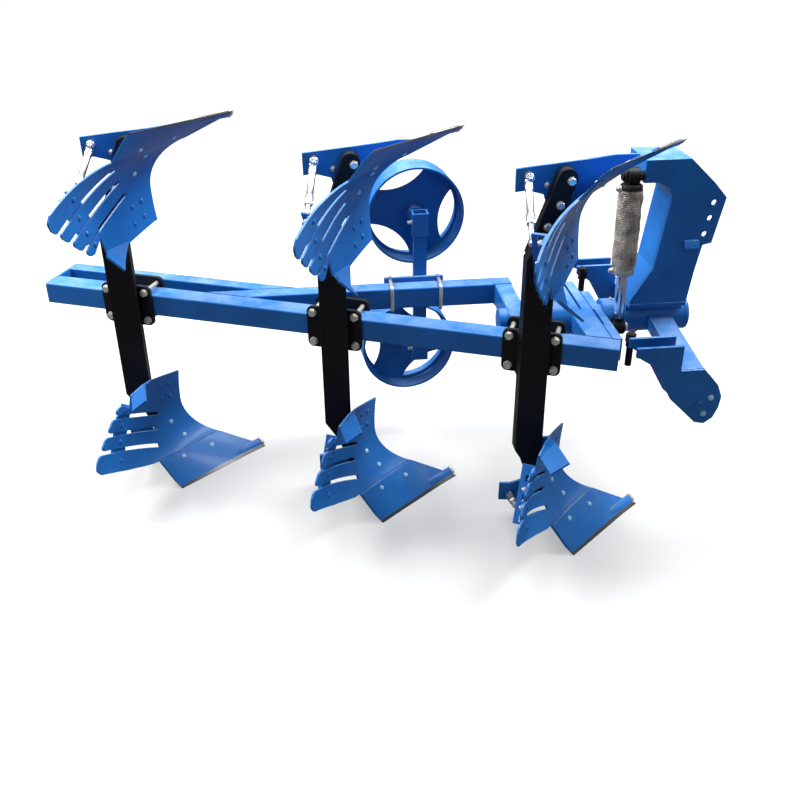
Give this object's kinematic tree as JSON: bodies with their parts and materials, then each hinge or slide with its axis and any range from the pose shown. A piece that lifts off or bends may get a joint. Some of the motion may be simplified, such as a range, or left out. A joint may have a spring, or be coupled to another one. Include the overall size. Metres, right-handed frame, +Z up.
{
  "type": "moldboard plough",
  "caption": "Mounted reversible moldboard plough with slatted moldboards, turnover headstock and cylinder, and gauge wheels on an angled beam.",
  "frame": {"origin": "middle of the footprint, on the ground the lower bodies stand on", "axes": "+X the way the plough travels, +Y to its left, +Z up"},
  "size_m": [2.9388, 1.6128, 1.69],
  "materials": {
    "blue_paint": "gloss",
    "black_paint": "semi-gloss",
    "zinc": "plated",
    "chrome": "polished",
    "wrap": "wrapped"
  },
  "bodies": {
    "headstock": {"tower_plate_right": "blue_paint", "tower_plate_left": "blue_paint", "tower_webs": "blue_paint", "tower_saddle": "blue_paint", "bearing_tube": "blue_paint", "clevis_right": "blue_paint", "clevis_left": "blue_paint", "cross_bars": "blue_paint", "link_pins": "zinc", "stop_screws": "black_paint"},
    "plough_frame": {"main_beam": "blue_paint", "rear_beam": "blue_paint", "rear_plate": "blue_paint", "wheel_beam": "blue_paint", "rear_cross_member": "blue_paint", "front_cross_member": "blue_paint", "front_flange": "blue_paint", "pivot_tube": "blue_paint", "turnover_shaft": "blue_paint", "leg_rear": "black_paint", "moldboard_rear_lower": "blue_paint", "moldboard_rear_upper": "blue_paint", "share_rear_lower": "blue_paint", "share_rear_upper": "blue_paint", "frog_rear_lower": "blue_paint", "frog_rear_upper": "blue_paint", "leg_middle": "black_paint", "moldboard_middle_lower": "blue_paint", "moldboard_middle_upper": "blue_paint", "share_middle_lower": "blue_paint", "share_middle_upper": "blue_paint", "frog_middle_lower": "blue_paint", "frog_middle_upper": "blue_paint", "leg_front": "black_paint", "moldboard_front_lower": "blue_paint", "moldboard_front_upper": "blue_paint", "share_front_lower": "blue_paint", "share_front_upper": "blue_paint", "frog_front_lower": "blue_paint", "frog_front_upper": "blue_paint", "leg_clamps": "black_paint", "clamp_bolts": "zinc", "heels": "blue_paint", "tail_bars": "blue_paint", "stays": "zinc", "wheel_sleeve_upper": "blue_paint", "wheel_sleeve_lower": "blue_paint", "wheel_post": "blue_paint", "wheel_clamp": "blue_paint", "u_bolts": "zinc", "crank_pin": "blue_paint"},
    "cylinder_rod": {"rod_eye": "black_paint", "piston_rod": "chrome"},
    "cylinder_barrel_body": {"cylinder_barrel": "wrap", "barrel_eye": "black_paint"},
    "upper_wheel": {"wheel_upper": "blue_paint"},
    "lower_wheel": {"wheel_lower": "blue_paint"}
  },
  "joints": [
    {"name": "turnover", "type": "hinge", "parent": "headstock", "child": "plough_frame", "pos_m": [1.01837, 0.00861, 0.845], "axis": [-1, 0, 0], "range_deg": [0, 180]},
    {"name": "rod_pivot", "type": "hinge", "parent": "plough_frame", "child": "cylinder_rod", "pos_m": [1.06237, -0.10639, 0.845], "axis": [1, 0, 0], "range_deg": [0, 199.7]},
    {"name": "barrel_slide", "type": "slide", "parent": "cylinder_rod", "child": "cylinder_barrel_body", "axis": [0, 0.0381, 0.9993], "range_m": [-0.108, 0.0309]},
    {"name": "upper_wheel_spin", "type": "hinge", "parent": "plough_frame", "child": "upper_wheel", "pos_m": [0.25937, 0.45861, 1.18], "axis": [-0.1045, 0.9945, 0], "continuous": true},
    {"name": "lower_wheel_spin", "type": "hinge", "parent": "plough_frame", "child": "lower_wheel", "pos_m": [0.22337, 0.45861, 0.51], "axis": [-0.1045, 0.9945, 0], "continuous": true}
  ],
  "couplings": [
    {"joint": "rod_pivot", "follows": "turnover", "ratio": 1.1087}
  ]
}
